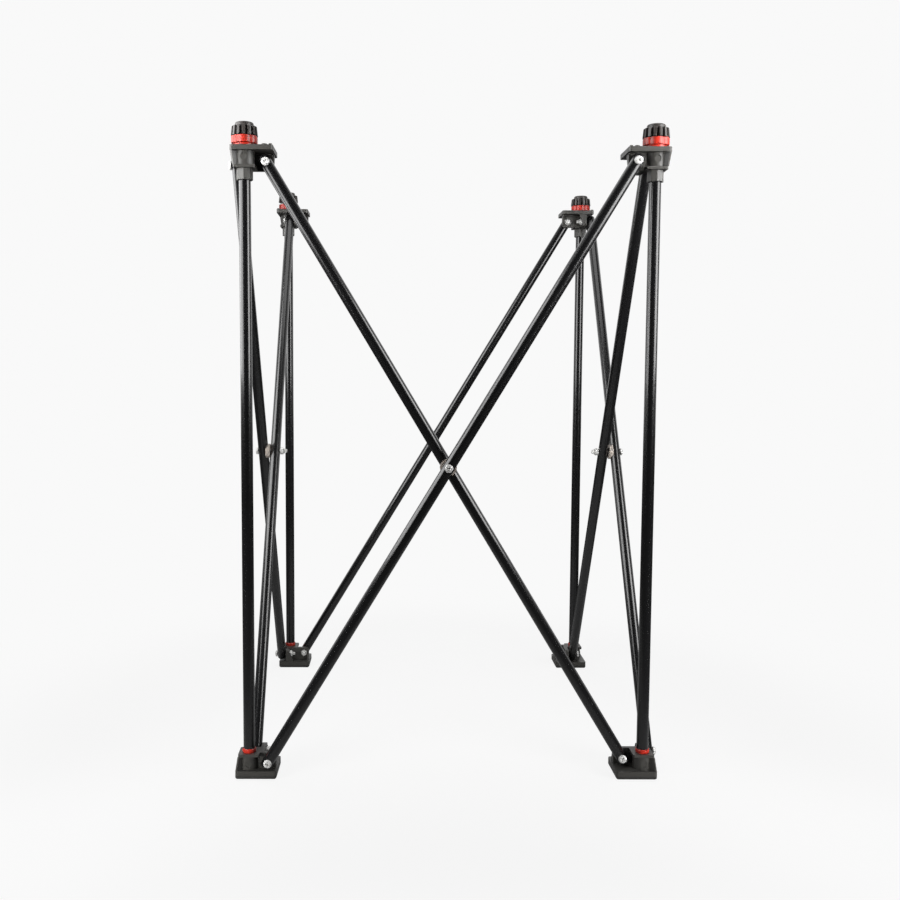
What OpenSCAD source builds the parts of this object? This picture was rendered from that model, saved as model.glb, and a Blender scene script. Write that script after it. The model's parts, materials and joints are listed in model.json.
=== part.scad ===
// Folding game board stand: four tube posts in a square, joined on each side by a pair of
// crossed bars, with a moulded bracket at both ends of every post and a levelling knob on top.
// Millimetres, +Z up. The origin is on the floor, at the centre of the square.
//
// Each corner is drawn once, in its own frame: the post's axis is the Z axis, +X runs inward along
// one side of the stand and +Y inward along the next. Each side is drawn once as well, as the front.

/* [Frame] */
// Distance between the axes of neighbouring posts
post_spacing = 432; // [320:1:600]
// Height of the top plates' upper faces above the floor
frame_h = 677; // [500:1:900]

/* [Tube] */
// Outside diameter of the posts and bars
tube_d = 12.7; // [11:0.1:14]
// Wall of the posts and bars
tube_wall = 1; // [0.8:0.1:1.5]

/* [Bracket] */
// Height of a bracket, from its plate's outer face to the end of its boss
bracket_h = 22.5; // [21:0.5:34]
// Thickness of the bracket's square plate
plate_t = 5; // [3:0.1:6]
// How far the plate reaches outward from the post's axis
plate_out = 14; // [13:0.5:18]
// Radius of the plate's corners
plate_corner_r = 3; // [1:0.5:5]
// Bar pivot to post axis, along the side
pivot_in = 22; // [21:0.5:30]
// Bar pivot to the outer face of the plate
pivot_rise = 15; // [14:0.5:16]
// Thickness of the two lugs
lug_t = 5; // [2.5:0.1:5.5]
// How far a lug runs past the bar pivot
lug_past = 7.3; // [6.5:0.1:10]
// Radius of the free corner of a lug
lug_corner_r = 4; // [2:0.5:5]
// How far the rib at a lug's end stands out past the nut, at its foot
rib_past = 1; // [0.5:0.1:3]
// How far the plate runs past the lug's end
plate_past = 1.7; // [1.5:0.1:6]
// Outside diameter of the post boss
boss_d = 21; // [17.5:0.1:22]
// Thickness of the flange round the end of the boss
shoulder_t = 3; // [2:0.1:5]
// How far the plate's edge stands proud of the flange's edge
shoulder_set = 3; // [1:0.5:3.5]
// Radius of the flange's corners
shoulder_corner_r = 1.5; // [0.5:0.1:3]
// Gap between the flange and the end of a bar
shoulder_gap = 1.5; // [1:0.1:2]
// Thickness of the corner web and of the ribs at the lugs' ends
rib_t = 2.5; // [1.5:0.1:2.6]
// How far the corner web stands back from the plate's and flange's corners
web_set = 0.4; // [0:0.1:1]
// Thickness of the boss's floor, which carries the levelling stud
boss_floor_t = 8; // [6:0.5:10]
// Diameter of the pegs on the plate's outer face
peg_d = 5.5; // [4:0.1:7]
// Height of the pegs and nubs on the plate's outer face
peg_h = 1.2; // [0.5:0.1:2]
// Distance from a peg to the plate's edge
peg_edge = 0.6; // [0.5:0.1:2]
// Width of the square nubs at the plate's inward corners
nub_w = 3; // [2:0.1:4]
// Distance from a nub to the plate's edge
nub_edge = 1; // [0.6:0.1:2]
// Diameter of the shallow dimple on the boss
dimple_d = 7; // [3:0.1:8]
// Depth of the dimple
dimple_t = 0.8; // [0.2:0.1:1]
// Height of the dimple's centre above the plate's outer face
dimple_rise = 11.5; // [9:0.5:13.5]

/* [Bars] */
// Inner bars' axes to the line of the posts, measured inward
inner_plane = 4.5; // [3.5:0.1:6]
// Thickness of the spacer between two crossed bars
spacer_t = 2.5; // [1.5:0.1:5]
// Diameter of the spacer
spacer_d = 18; // [16:0.5:22]
// How far the spacer wraps round the outer bar
spacer_wrap = 3; // [1:0.1:4]
// How far the rounded end of a bar reaches past its pivot
bar_end = 8.5; // [8:0.1:9.2]
// How far the end plug reaches back into the tube, past the pivot
plug_back = 6; // [4:0.5:7]

/* [Fasteners] */
// Diameter of the pivot bolts
bolt_d = 5; // [4:0.5:6]
// Diameter of the bolts' pan heads
head_d = 9; // [8.5:0.1:11]
// Height of the bolts' pan heads
head_h = 3; // [2:0.1:4]
// Length of the cross recess in a head, across its arms
recess_w = 4.6; // [3:0.1:6]
// Width of the recess's arms
recess_arm = 1.1; // [0.6:0.1:1.5]
// Depth of the recess
recess_t = 1.5; // [0.5:0.1:1.8]
// Width of the nuts across their flats
nut_af = 8; // [7:0.1:8.2]
// Height of the nuts' hexagon
nut_h = 4; // [3:0.1:5]
// Height of the round locking collar on the nuts
nut_collar_h = 1.2; // [0.6:0.1:2]
// How far the nuts' collar stands in from their flats
nut_collar_set = 0.3; // [0.1:0.1:0.8]
// Bolt end standing out of the nut
bolt_stub = 3; // [0.5:0.1:4]

/* [Foot] */
// Thickness of the rubber sole
sole_t = 4.2; // [3:0.1:6]
// Chamfer round the sole's lower edge
sole_chamfer = 2; // [0.5:0.1:2]
// Outside diameter of the bush's ring
bush_ring_d = 15.2; // [14.8:0.1:18]
// Height of the bush's ring above the boss
bush_ring_h = 4.2; // [3:0.1:8]
// Wall of the bush inside the boss
bush_wall = 0.85; // [0.6:0.05:0.9]

/* [Collar] */
// Width of the post collar across its corners
collar_w = 17.6; // [16.5:0.1:20]
// Height of the post collar
collar_h = 11.8; // [6:0.1:20]

/* [Leveller] */
// Diameter of the levelling stud
stud_d = 8; // [6:0.5:8.5]
// Travel of the levelling knob
level_travel = 12; // [6:1:14]
// Length of stud still below the boss's floor with the knob right up
stud_spare = 8; // [4:1:30]
// How far each knob is screwed up from its lowest place: front left, front right, rear right, rear left
knob_raise = [0, 0, 0, 3]; // [0:0.5:10]
// Diameter of the lock ring's neck
ring_neck_d = 21.5; // [18:0.5:24]
// Height of the lock ring's neck
ring_neck_h = 2.5; // [1:0.1:6]
// Diameter of the lock ring over its lobes
ring_d = 28.8; // [26:0.2:32]
// Height of the lock ring's lobed band
ring_h = 7.5; // [5:0.5:12]
// Number of lobes on the lock ring
ring_lobes = 6; // [5:1:8]
// Depth of the creases between the lobes
ring_valley = 1.3; // [0.8:0.1:1.6]
// Angle at which each lock ring stands, in the same order as the knobs
ring_turn = [34, 51, 20, 5]; // [0:1:60]
// Diameter of the knob over the foot of its ribs
knob_d = 28.4; // [26:0.2:34]
// Height of the knob's ribbed part
knob_rib_h = 10; // [8:0.5:16]
// Height of the knob's crown above its ribs
knob_crown_h = 4.4; // [3:0.1:8]
// Draft of the ribs, from their foot to their top
knob_draft = 1; // [0.2:0.1:1.5]
// Chamfer at the foot and top of the ribs
knob_edge = 0.8; // [0.3:0.1:1.2]
// Number of ribs on the knob
knob_ribs = 14; // [8:1:16]
// Width of the grooves between the ribs
knob_groove_w = 2.6; // [2:0.1:4]
// Depth of the grooves between the ribs
knob_groove_t = 2.4; // [1:0.1:3]
// Diameter of the crown at its foot
knob_crown_d = 19.5; // [17:0.5:20]
// Diameter of the flat on top of the crown
knob_flat_d = 13; // [10:0.5:15]
// How far the stud reaches into the knob
knob_bore_h = 10; // [6:0.5:10]

/* [Clearances] */
// Radial clearance of a bolt in its hole, and of the post in its bush
fit_gap = 0.1; // [0.05:0.01:0.1]
// Gap between pieces that turn or slide against each other
run_gap = 0.3; // [0.2:0.05:0.4]
// Gap between the knob and the lock ring
knob_gap = 0.5; // [0.3:0.1:1]
// Gap between fixed pieces of one assembly
seat_gap = 0.05; // [0.02:0.01:0.1]

/* [Hidden] */
$fn = 64;
cut = 1; // how far a cutting shape runs past what it cuts
lap = 1; // how far fused shapes reach into each other

CORNERS = ["fl", "fr", "rr", "rl"];
SIDES = ["front", "right", "rear", "left"];
CORNER_PARTS = [
    "top_bracket", "post", "post_collar", "leveller_knob", "leveller_stud", "lock_ring",
    "top_fasteners", "foot_bracket", "foot_bush", "foot_sole", "foot_fasteners"
];

half_spacing = post_spacing / 2;
tube_r = tube_d / 2;
hole_d = bolt_d + 2 * fit_gap;

// Planes of the bars and lugs, as inward distances from the line of the posts
outer_plane = inner_plane - tube_d - spacer_t;
lug_off = tube_r + run_gap; // bar axis to the face of its lug
outer_lug = outer_plane + lug_off;
inner_lug = inner_plane + lug_off;

// The bracket
lug_end = pivot_in + lug_past;
plate_in = lug_end + plate_past;
shoulder_out = plate_out - shoulder_set;
shoulder_in = min(pivot_in - bar_end - shoulder_gap, inner_lug + lug_t);
web_in = boss_d / 2 - lap;
web_foot = plate_out * sqrt(2) - plate_corner_r * (sqrt(2) - 1) - web_set;
web_head = shoulder_out * sqrt(2) - web_set;
rib_foot = nut_h + nut_collar_h + rib_past;
peg_place = plate_out - peg_d / 2 - peg_edge;
nub_place = plate_in - nub_w / 2 - nub_edge;

// Heights above the floor
foot_face = sole_t;
top_face = frame_h;
pivot_bottom = foot_face + pivot_rise;
pivot_top = top_face - pivot_rise;
pivot_mid = (pivot_bottom + pivot_top) / 2;
post_bottom = foot_face + boss_floor_t + run_gap;
post_top = top_face - boss_floor_t - seat_gap;
boss_end_foot = foot_face + bracket_h;
boss_end_top = top_face - bracket_h;

// The crossed bars
pivot_run = post_spacing - 2 * pivot_in;
bar_len = sqrt(pow(pivot_run, 2) + pow(pivot_top - pivot_bottom, 2));
bar_tilt = atan(pivot_run / (pivot_top - pivot_bottom));
tube_stop = sqrt(pow(bar_end, 2) - pow(tube_r, 2)); // the plug's dome starts here, past the pivot

// The leveller
stud_below = boss_floor_t + level_travel + stud_spare;
ring_foot = top_face + run_gap;
ring_top = ring_foot + ring_neck_h + ring_h;
knob_foot = ring_top + knob_gap;
knob_core_r = knob_d / 2 - knob_groove_t;

// Carries a corner, drawn at its post, to corner k of the stand
module at_corner(k) rotate([0, 0, 90 * k]) translate([-half_spacing, -half_spacing, 0]) children();

// Carries a side, drawn as the front with the posts' line on the X axis, to side k of the stand
module at_side(k) rotate([0, 0, 90 * k]) translate([0, -half_spacing, 0]) children();

// Turns a bracket over, which swaps its two lugs as well, and sets it on the top of a post
module turned_over(z) translate([0, 0, z]) mirror([0, 0, 1]) mirror([1, -1, 0]) children();

// Swaps a corner's two sides
module swapped() mirror([1, -1, 0]) children();

// The child and its swapped copy
module both_ways() {
    children();
    swapped() children();
}

// What the child and its swapped copy have in common
module for_both_ways() intersection() {
    children();
    swapped() children();
}

// Points an upright piece inward, across the side
module across() rotate([-90, 0, 0]) children();

// Rectangle from one corner to the other, with round corners
module round_rect(low, high, r) {
    translate([low[0] + r, low[1]]) square([high[0] - low[0] - 2 * r, high[1] - low[1]]);
    translate([low[0], low[1] + r]) square([high[0] - low[0], high[1] - low[1] - 2 * r]);
    for (x = [low[0] + r, high[0] - r], y = [low[1] + r, high[1] - r]) translate([x, y]) circle(r);
}

module plate_outline() round_rect([-plate_out, -plate_out], [plate_in, plate_in], plate_corner_r);

// Pegs and nubs on the plate's outer face, wider by a gap where they are cut from the sole
module pegs(h, gap = 0) both_ways() {
    translate([pivot_in, -peg_place]) cylinder(d = peg_d + 2 * gap, h = h);
    translate([nub_place - nub_w / 2 - gap, nub_edge - plate_out - gap, 0])
        cube([nub_w + 2 * gap, nub_w + 2 * gap, h]);
}

// Lug outline: X inward along the side, Y up from the plate's outer face
module lug_outline(start) {
    translate([start, 0]) square([lug_end - start, bracket_h - lug_corner_r]);
    translate([start, 0]) square([lug_end - lug_corner_r - start, bracket_h]);
    translate([lug_end - lug_corner_r, bracket_h - lug_corner_r]) circle(lug_corner_r);
}

// Lug whose outer face lies at the given distance inward of the posts, with its end rib
module lug(face, start) {
    translate([0, face + lug_t, 0]) rotate([90, 0, 0]) linear_extrude(lug_t) lug_outline(start);
    translate([lug_end, face + lug_t, plate_t]) rotate([0, -90, 0]) linear_extrude(rib_t)
        polygon([[0, 0], [bracket_h - plate_t - lug_corner_r, 0], [0, rib_foot]]);
}

// Hole for a pivot bolt through a lug
module lug_hole(face) translate([pivot_in, face - cut, pivot_rise])
    across() cylinder(d = hole_d, h = lug_t + 2 * cut);

// Web from the boss to the plate's outward corner, upright on the diagonal
module corner_web() {
    rotate([0, 0, -135]) translate([0, rib_t / 2, 0]) rotate([90, 0, 0]) linear_extrude(rib_t)
        polygon([
            [web_in, plate_t - lap], [web_foot, plate_t - lap], [web_foot, plate_t],
            [web_head, bracket_h - shoulder_t], [web_in, bracket_h - shoulder_t]
        ]);
}

// Moulded bracket, lying on its plate: the outer bar's lug runs along X, the inner bar's along Y
module bracket(bore_d) {
    difference() {
        union() {
            linear_extrude(plate_t) plate_outline();
            mirror([0, 0, 1]) pegs(peg_h);
            cylinder(d = boss_d, h = bracket_h);
            translate([0, 0, bracket_h - shoulder_t]) linear_extrude(shoulder_t)
                round_rect([-shoulder_out, -shoulder_out], [shoulder_in, shoulder_in], shoulder_corner_r);
            corner_web();
            lug(outer_lug, 0);
            swapped() lug(inner_lug, outer_lug + lug_t - lap);
        }
        translate([0, 0, boss_floor_t]) cylinder(d = bore_d, h = bracket_h);
        translate([0, 0, -cut]) cylinder(r = stud_d / 2 + fit_gap, h = boss_floor_t + 2 * cut);
        lug_hole(outer_lug);
        swapped() lug_hole(inner_lug);
        both_ways() translate([0, dimple_t - boss_d / 2, dimple_rise])
            rotate([90, 0, 0]) cylinder(d = dimple_d, h = dimple_t + cut);
    }
}

module top_bracket() color("#1b1c1e") turned_over(top_face) bracket(tube_d + 2 * seat_gap);

module foot_bracket() {
    color("#1b1c1e") translate([0, 0, foot_face]) bracket(tube_d + 2 * (fit_gap + bush_wall + seat_gap));
}

// Post: fixed in its top bracket, and free to slide out of its foot when the stand folds
module post() color("#101113") {
    difference() {
        translate([0, 0, post_bottom]) cylinder(r = tube_r, h = post_top - post_bottom);
        translate([0, 0, post_bottom - cut])
            cylinder(r = tube_r - tube_wall, h = post_top - post_bottom + 2 * cut);
    }
}

// Eight-sided collar under the top bracket
module post_collar() color("#1b1c1e") {
    translate([0, 0, boss_end_top - collar_h - seat_gap]) difference() {
        cylinder(d = collar_w, h = collar_h, $fn = 8);
        translate([0, 0, -cut]) cylinder(r = tube_r + seat_gap, h = collar_h + 2 * cut);
    }
}

// Red bush in the foot: a thin sleeve inside the boss and a round-edged ring above it
module foot_bush() color("#c8201c") {
    bore_r = tube_r + fit_gap;
    ring_r = bush_ring_d / 2;
    edge = (ring_r - bore_r) / 2; // rounds both edges of the ring
    rotate_extrude() {
        translate([bore_r, foot_face + boss_floor_t])
            square([bush_wall, bracket_h - boss_floor_t + seat_gap + edge]);
        translate([bore_r, boss_end_foot + seat_gap]) {
            square([ring_r - edge - bore_r, bush_ring_h]);
            translate([0, edge]) square([ring_r - bore_r, bush_ring_h - 2 * edge]);
            for (z = [edge, bush_ring_h - edge]) translate([ring_r - edge - bore_r, z]) circle(edge);
        }
    }
}

// Rubber sole under the foot, chamfered all round and pocketed for the bracket's pegs
module foot_sole() color("#18181a") {
    side = plate_in + plate_out;
    difference() {
        intersection() {
            linear_extrude(sole_t - seat_gap) plate_outline();
            for_both_ways() translate([-plate_out, plate_in, 0]) rotate([90, 0, 0]) linear_extrude(side)
                polygon([
                    [sole_chamfer, 0], [side - sole_chamfer, 0], [side, sole_chamfer],
                    [side, sole_t], [0, sole_t], [0, sole_chamfer]
                ]);
        }
        translate([0, 0, sole_t - peg_h - 2 * seat_gap]) pegs(sole_t, seat_gap);
    }
}

// Half profile of a pan head that stands below the X axis, its rim rounded all the way
module head_profile() intersection() {
    translate([0, -head_h]) square([head_d / 2, head_h]);
    union() {
        translate([0, -head_h]) square([head_d / 2 - head_h / 2, head_h]);
        translate([0, -head_h / 2]) square([head_d / 2, head_h / 2]);
        translate([head_d / 2 - head_h / 2, -head_h / 2]) circle(head_h / 2);
    }
}

// Pan head bolt with a locking nut. Its head stands on Z = 0 and it points along +Z
module bolt_and_nut(grip) {
    difference() {
        rotate_extrude() head_profile();
        for (turn = [0, 90]) rotate([0, 0, turn])
            translate([-recess_w / 2, -recess_arm / 2, -head_h - cut])
                cube([recess_w, recess_arm, cut + recess_t]);
    }
    cylinder(d = bolt_d, h = grip + nut_h + nut_collar_h + bolt_stub);
    translate([0, 0, grip]) difference() {
        union() {
            cylinder(d = nut_af / cos(30), h = nut_h, $fn = 6);
            cylinder(d = nut_af - 2 * nut_collar_set, h = nut_h + nut_collar_h);
        }
        translate([0, 0, -cut]) cylinder(d = bolt_d - 2 * seat_gap, h = nut_h + nut_collar_h + 2 * cut);
    }
}

// Pivot bolt through a bar and its lug, on the lug whose outer face is given
module lug_bolt(face) {
    grip = tube_d + lug_t + 2 * run_gap;
    translate([pivot_in, face + lug_t - grip, 0]) across() bolt_and_nut(grip);
}

module top_fasteners() color("#c9ccd0") translate([0, 0, pivot_top]) {
    lug_bolt(inner_lug);
    swapped() lug_bolt(outer_lug);
}

module foot_fasteners() color("#c9ccd0") translate([0, 0, pivot_bottom]) {
    lug_bolt(outer_lug);
    swapped() lug_bolt(inner_lug);
}

// Places a bar, drawn upright about its middle, in its plane and at its tilt
module in_bar_place(plane, tilt) translate([0, plane, pivot_mid]) rotate([0, tilt, 0]) children();

// Bar: a tube with a domed plug in each end, drilled at both pivots and in the middle
module bar() color("#101113") difference() {
    union() {
        difference() {
            cylinder(r = tube_r, h = bar_len + 2 * tube_stop, center = true);
            cylinder(r = tube_r - tube_wall, h = bar_len + 2 * tube_stop + 2 * cut, center = true);
        }
        for (end = [0, 1]) mirror([0, 0, end]) translate([0, 0, bar_len / 2]) end_plug();
    }
    for (z = [-bar_len / 2, 0, bar_len / 2]) translate([0, -tube_r - cut, z])
        across() cylinder(d = hole_d, h = tube_d + 2 * cut);
}

// Plug for the end of a bar: its dome is a ball about the pivot
module end_plug() intersection() {
    sphere(r = bar_end);
    union() {
        translate([0, 0, tube_stop + seat_gap]) cylinder(r = tube_r, h = bar_end);
        translate([0, 0, -plug_back])
            cylinder(r = tube_r - tube_wall - seat_gap, h = plug_back + tube_stop + lap);
    }
}

module outer_bar() in_bar_place(outer_plane, bar_tilt) bar();
module inner_bar() in_bar_place(inner_plane, -bar_tilt) bar();

// Bolt through both bars, with a gap at each end of its grip
module mid_bolt() color("#c9ccd0") {
    grip = 2 * tube_d + spacer_t + 2 * run_gap;
    in_bar_place(outer_plane - tube_r - run_gap, bar_tilt) across() bolt_and_nut(grip);
}

// Spacer between the crossed bars: flat towards the inner bar, hollowed to sit on the outer one
module spacer() color("#d9c4c2") in_bar_place(outer_plane, bar_tilt) difference() {
    translate([0, tube_r - spacer_wrap, 0]) across()
        cylinder(d = spacer_d, h = spacer_wrap + spacer_t - run_gap);
    cylinder(r = tube_r + seat_gap, h = spacer_d + 2 * cut, center = true);
    across() cylinder(d = hole_d, h = tube_r + spacer_t + cut);
}

// Red ring that locks the levelling stud: its band is a flower of arcs that meet in creases
module lock_ring(turn) color("#c8201c") {
    crease_r = ring_d / 2 - ring_valley;
    lobe_out = (pow(ring_d / 2, 2) - pow(crease_r, 2)) / (ring_d - 2 * crease_r * cos(180 / ring_lobes));
    translate([0, 0, ring_foot]) difference() {
        union() {
            cylinder(d = ring_neck_d, h = ring_neck_h + lap);
            translate([0, 0, ring_neck_h]) linear_extrude(ring_h) {
                circle(lobe_out);
                for (i = [0:ring_lobes - 1]) rotate(turn + 360 / ring_lobes * i)
                    translate([lobe_out, 0]) circle(ring_d / 2 - lobe_out);
            }
        }
        translate([0, 0, -cut]) cylinder(r = stud_d / 2 + fit_gap, h = ring_neck_h + ring_h + 2 * cut);
    }
}

// Threaded stud, drawn plain: from inside the post up into the knob
module leveller_stud(raise) color("#b9bcc0") {
    translate([0, 0, top_face - stud_below + raise])
        cylinder(d = stud_d, h = stud_below + knob_foot - top_face + knob_bore_h);
}

// Ribbed knob on top of the stud, bored from below
module leveller_knob(raise) color("#121315") translate([0, 0, knob_foot + raise]) difference() {
    union() {
        difference() {
            rotate_extrude() rib_profile();
            for (i = [0:knob_ribs - 1]) rotate([0, 0, 360 / knob_ribs * i])
                translate([knob_core_r - knob_draft, -knob_groove_w / 2, -cut])
                    cube([knob_groove_t + knob_draft + cut, knob_groove_w, knob_rib_h + 2 * cut]);
        }
        rotate_extrude() crown_profile();
    }
    translate([0, 0, -cut]) cylinder(r = stud_d / 2 + fit_gap, h = knob_bore_h + run_gap + cut);
}

// Half profile over the knob's ribs, drawn in towards their top
module rib_profile() {
    foot_r = knob_d / 2;
    head_r = foot_r - knob_draft;
    polygon([
        [0, 0], [foot_r - knob_edge, 0], [foot_r, knob_edge],
        [head_r, knob_rib_h - knob_edge], [head_r - knob_edge, knob_rib_h], [0, knob_rib_h]
    ]);
}

// Half profile of the knob's crown, rounded over to the flat on top
module crown_profile() {
    edge = min((knob_crown_d - knob_flat_d) / 2, knob_crown_h);
    translate([0, knob_rib_h - lap]) {
        square([knob_crown_d / 2, lap + knob_crown_h - edge]);
        square([knob_crown_d / 2 - edge, lap + knob_crown_h]);
        translate([knob_crown_d / 2 - edge, lap + knob_crown_h - edge]) intersection() {
            circle(edge);
            square(edge);
        }
    }
}

for (k = [0:3]) {
    corner = CORNERS[k];
    at_corner(k) top_bracket();
    at_corner(k) post();
    at_corner(k) post_collar();
    at_corner(k) leveller_knob(knob_raise[k]);
    at_corner(k) leveller_stud(knob_raise[k]);
    at_corner(k) lock_ring(ring_turn[k]);
    at_corner(k) top_fasteners();
    at_corner(k) foot_bracket();
    at_corner(k) foot_bush();
    at_corner(k) foot_sole();
    at_corner(k) foot_fasteners();

    side = SIDES[k];
    at_side(k) outer_bar();
    at_side(k) inner_bar();
    at_side(k) mid_bolt();
    at_side(k) spacer();
}
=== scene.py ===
# %% [markdown]
# # Dressing a folding game board stand
#
# Four black tube posts stand in a square. Each side has a pair of crossed bars, so the whole stand
# folds like scissors, and a levelling knob on every post carries the board. The frame already holds
# every solid, joint and size. These cells give each solid the surface of the real piece: rounded
# moulded edges, threads, recessed bolt heads, and a finish for every material.

# %% Load the frame
import json
import math

import bmesh
import bpy
import numpy as np
from mathutils import Matrix, Vector


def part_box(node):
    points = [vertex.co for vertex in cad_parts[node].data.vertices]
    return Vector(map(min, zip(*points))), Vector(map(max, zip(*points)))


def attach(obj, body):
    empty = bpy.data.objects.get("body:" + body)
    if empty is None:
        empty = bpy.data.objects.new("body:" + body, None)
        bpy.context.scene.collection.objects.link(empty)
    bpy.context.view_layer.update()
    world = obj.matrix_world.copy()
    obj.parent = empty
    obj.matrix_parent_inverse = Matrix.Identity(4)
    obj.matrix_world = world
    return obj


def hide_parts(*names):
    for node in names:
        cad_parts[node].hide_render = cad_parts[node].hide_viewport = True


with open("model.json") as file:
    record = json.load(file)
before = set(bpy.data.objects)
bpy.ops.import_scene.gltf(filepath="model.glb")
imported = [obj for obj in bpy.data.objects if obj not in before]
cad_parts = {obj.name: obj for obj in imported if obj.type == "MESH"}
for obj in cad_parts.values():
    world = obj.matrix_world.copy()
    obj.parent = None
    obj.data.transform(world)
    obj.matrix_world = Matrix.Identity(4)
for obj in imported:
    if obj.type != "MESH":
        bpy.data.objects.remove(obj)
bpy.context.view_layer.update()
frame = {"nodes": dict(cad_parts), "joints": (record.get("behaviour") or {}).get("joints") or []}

# %% [markdown]
# ## Places
#
# The stand looks the same from each side, so every piece is drawn once, in millimetres, at the front
# left corner or on the front side, and then carried round by quarter turns. The places come from the
# frame: the posts' axes from their boxes, and the bars' pivots from the joints.

# %% Read the places from the frame
MM = 0.001
CORNERS = ("fl", "fr", "rr", "rl")
SIDES = ("front", "right", "rear", "left")


def box_mm(node):
    """Lowest and highest corner of a node, in millimetres."""
    low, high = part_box(node)
    return np.array(low) / MM, np.array(high) / MM


def pivot_mm(name):
    """Place of a joint, in millimetres."""
    place = next(joint["pos_m"] for joint in frame["joints"] if joint["name"] == name)
    return np.array(place) / MM


post_low, post_high = box_mm("post_fl")
POST_AT = (post_low + post_high)[:2] / 2
TUBE_R = (post_high[0] - post_low[0]) / 2
foot_pivot, top_pivot = pivot_mm("fold"), pivot_mm("front_inner_top")
PIVOT_X = -foot_pivot[0]
OUTER_Y, INNER_Y = foot_pivot[1], top_pivot[1]
FOOT_Z, MIDDLE_Z, TOP_Z = foot_pivot[2], pivot_mm("front_cross")[2], top_pivot[2]
print("post at", POST_AT.round(1), "tube radius", round(TUBE_R, 2))
print("pivots at x", PIVOT_X, "z", FOOT_Z, TOP_Z)


# %% Turn points round the stand
def turned(points, quarter):
    """A quarter turn sends (x, y) to (-y, x): from the front left corner to the next one."""
    x, y, z = points.T
    for _ in range(quarter):
        x, y = -y, x
    return np.stack([x, y, z], axis=1)


# %% [markdown]
# ## Surfaces from arrays
#
# A shell here is an array of points and an array of four-cornered faces. Most pieces are turned on a
# lathe: a profile of radius and height is swept round the Z axis. A profile's corners are rounded
# first, because no moulded or machined edge is truly sharp, and a rounded edge catches a thin line
# of light.


# %% Grids of points
def full_turn(count):
    """So many angles, evenly round a full turn, as one row."""
    return np.linspace(0, 2 * math.pi, count, endpoint=False)[None, :]


def polar(radius, angle, height):
    """Points (r cos a, r sin a, height) of a grid of radii, angles and heights."""
    across, up = radius * np.cos(angle), radius * np.sin(angle)
    return np.stack(np.broadcast_arrays(across, up, height), axis=-1)


def skin(rings):
    """Faces between neighbouring rings: rings[i, j] is point j of ring i, and j closes on itself."""
    rows, columns = rings.shape[:2]
    i = np.arange(rows - 1)[:, None] * columns
    j = np.arange(columns)[None, :]
    after = (j + 1) % columns
    faces = np.stack([i + j, i + after, i + columns + after, i + columns + j], axis=-1)
    return rings.reshape(-1, 3), faces.reshape(-1, 4)


# %% Profiles and the lathe
def rounded(profile, radius, steps):
    """Cuts each inner corner of a profile back by the radius and bridges it with a quadratic curve."""
    profile = np.array(profile, float)
    before, corner, after = profile[:-2], profile[1:-1], profile[2:]
    reach = np.broadcast_to(np.asarray(radius, float), (len(corner),))
    back, on = before - corner, after - corner
    back_length, on_length = np.linalg.norm(back, axis=1), np.linalg.norm(on, axis=1)
    start = corner + back * (np.minimum(reach, back_length * 0.49) / back_length)[:, None]
    end = corner + on * (np.minimum(reach, on_length * 0.49) / on_length)[:, None]
    t = np.linspace(0, 1, steps + 1)[None, :, None]
    curve = (1 - t) ** 2 * start[:, None] + 2 * t * (1 - t) * corner[:, None] + t**2 * end[:, None]
    return np.concatenate([profile[:1], curve.reshape(-1, 2), profile[-1:]])


def lathe(profile, around):
    """Point (r, z) of the profile goes to (r cos a, r sin a, z) for every angle a."""
    radius, height = np.array(profile, float).T[:, :, None]
    return skin(polar(radius, full_turn(around), height))


def stood(shell, foot, along=(0, 0, 1)):
    """Stands a shell drawn up the Z axis on a point, with its Z axis along a direction."""
    turn = np.array(Vector(along).to_track_quat("Z", "Y").to_matrix())
    return shell[0] @ turn.T + np.array(foot, float), shell[1]


# %% Make a piece from shells
def joined(shells):
    """One shell from several, with the faces renumbered."""
    starts = np.cumsum([0] + [len(points) for points, _ in shells[:-1]])
    faces = np.concatenate([quads + start for (_, quads), start in zip(shells, starts)])
    return np.concatenate([points for points, _ in shells]), faces


def finish_mesh(mesh, sharp_angle, weld=0.0005, flat_angle=0):
    """Welds points within a distance in millimetres, merges flat faces if asked, and shades smooth.

    Edges that turn by more than the sharp angle, in degrees, stay sharp.
    """
    work = bmesh.new()
    work.from_mesh(mesh)
    bmesh.ops.remove_doubles(work, verts=work.verts, dist=weld * MM)
    if flat_angle:
        limit = math.radians(flat_angle)
        bmesh.ops.dissolve_limit(work, angle_limit=limit, verts=work.verts, edges=work.edges)
    work.to_mesh(mesh)
    work.free()
    mesh.shade_smooth()
    mesh.set_sharp_from_angle(angle=math.radians(sharp_angle))


def add_piece(name, mesh, material, slot, body, stands_for=()):
    """Links a mesh as a piece that rides on a body and stands for nodes of the frame."""
    obj = bpy.data.objects.new(name, mesh)
    bpy.context.scene.collection.objects.link(obj)
    mesh.materials.append(material)
    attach(obj, body)
    if stands_for:
        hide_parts(*stands_for)
    return obj


def make_piece(name, shells, quarter, *where, stands_for=(), sharp_angle=40):
    """Joins shells, carries them round by quarter turns and makes them a piece."""
    points, faces = joined(shells)
    mesh = bpy.data.meshes.new(name)
    mesh.from_pydata((turned(points, quarter) * MM).tolist(), [], faces.tolist())
    finish_mesh(mesh, sharp_angle)
    add_piece(name, mesh, *where, stands_for=stands_for)


# %% [markdown]
# ## Effects shared by the materials
#
# Three effects return in several finishes, so each is a node group. The grain of a moulding is fine
# noise in its height. A film of dust lies where a surface faces up and breaks up in patches. Uneven
# gloss comes from slow noise. All three read Object coordinates, so they stay put on a piece that
# moves.


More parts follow.
